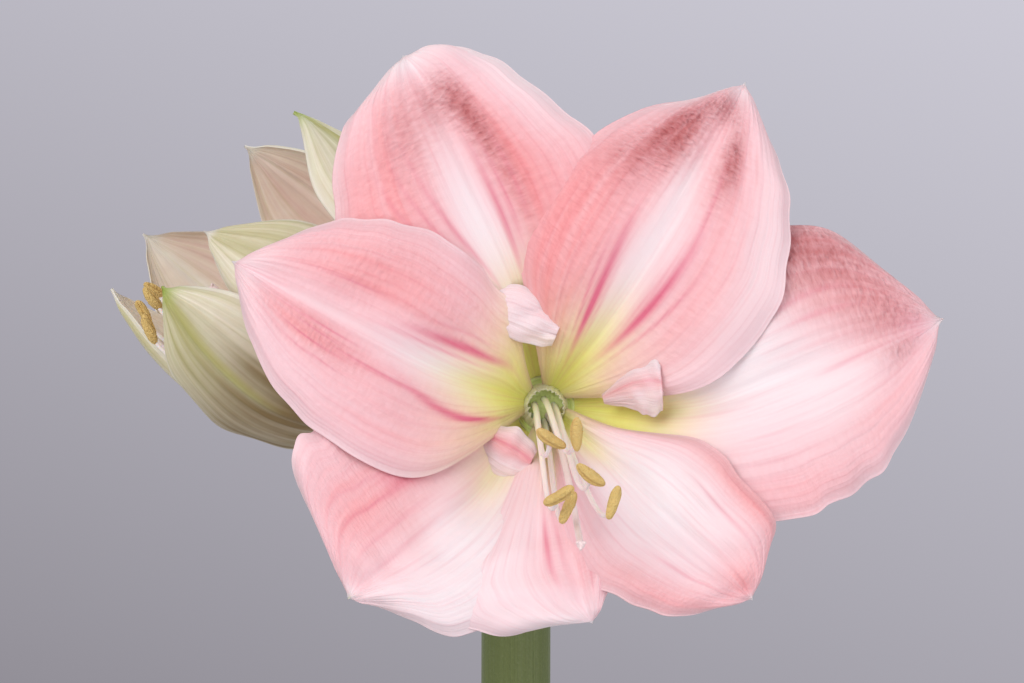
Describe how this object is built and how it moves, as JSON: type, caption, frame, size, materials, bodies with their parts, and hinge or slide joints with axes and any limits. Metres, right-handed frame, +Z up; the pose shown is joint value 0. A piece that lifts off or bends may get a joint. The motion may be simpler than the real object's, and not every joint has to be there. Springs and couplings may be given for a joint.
{
  "type": "amaryllis in a vase",
  "caption": "Cut amaryllis stem with an open trumpet flower and a half-open flower at its top, standing in water in a bottle-shaped glazed vase.",
  "frame": {"origin": "centre of the vase's flat base, on the surface that it stands on", "axes": "+Z up along the vase, -Y towards the front, where the open flower faces, +X to the right seen from the front"},
  "size_m": [0.2429, 0.2343, 0.5538],
  "materials": {
    "glaze": "soft gloss",
    "water": "clear, wet",
    "stem_green": "waxy satin",
    "tube_green": "waxy satin",
    "bract": "dry, matte",
    "pink_tepal": "soft petal sheen",
    "blush_tepal": "soft petal sheen",
    "fringe": "soft petal sheen",
    "stamen": "soft petal sheen",
    "anther": "dusty pollen, matte"
  },
  "bodies": {
    "root": {"bract_left": "bract", "bract_right": "bract", "half_open_anther_1": "anther", "half_open_anther_2": "anther", "half_open_anther_3": "anther", "half_open_anther_4": "anther", "half_open_anther_5": "anther", "half_open_anther_6": "anther", "half_open_filament_1": "stamen", "half_open_filament_2": "stamen", "half_open_filament_3": "stamen", "half_open_filament_4": "stamen", "half_open_filament_5": "stamen", "half_open_filament_6": "stamen", "half_open_stalk": "stem_green", "half_open_style": "stamen", "half_open_tepal_back": "blush_tepal", "half_open_tepal_front": "blush_tepal", "half_open_tepal_inner_back": "blush_tepal", "half_open_tepal_inner_bottom": "blush_tepal", "half_open_tepal_inner_front": "blush_tepal", "half_open_tepal_top": "blush_tepal", "half_open_tube": "tube_green", "open_anther_1": "anther", "open_anther_2": "anther", "open_anther_3": "anther", "open_anther_4": "anther", "open_anther_5": "anther", "open_anther_6": "anther", "open_corona": "fringe", "open_filament_1": "stamen", "open_filament_2": "stamen", "open_filament_3": "stamen", "open_filament_4": "stamen", "open_filament_5": "stamen", "open_filament_6": "stamen", "open_stalk": "stem_green", "open_style": "stamen", "open_tepal_bottom": "pink_tepal", "open_tepal_left": "pink_tepal", "open_tepal_low_left": "pink_tepal", "open_tepal_low_right": "pink_tepal", "open_tepal_right": "pink_tepal", "open_tepal_top_left": "pink_tepal", "open_tepal_top_right": "pink_tepal", "open_tube": "tube_green", "stem": "stem_green", "vase": "glaze", "water": "water"}
  },
  "joints": []
}
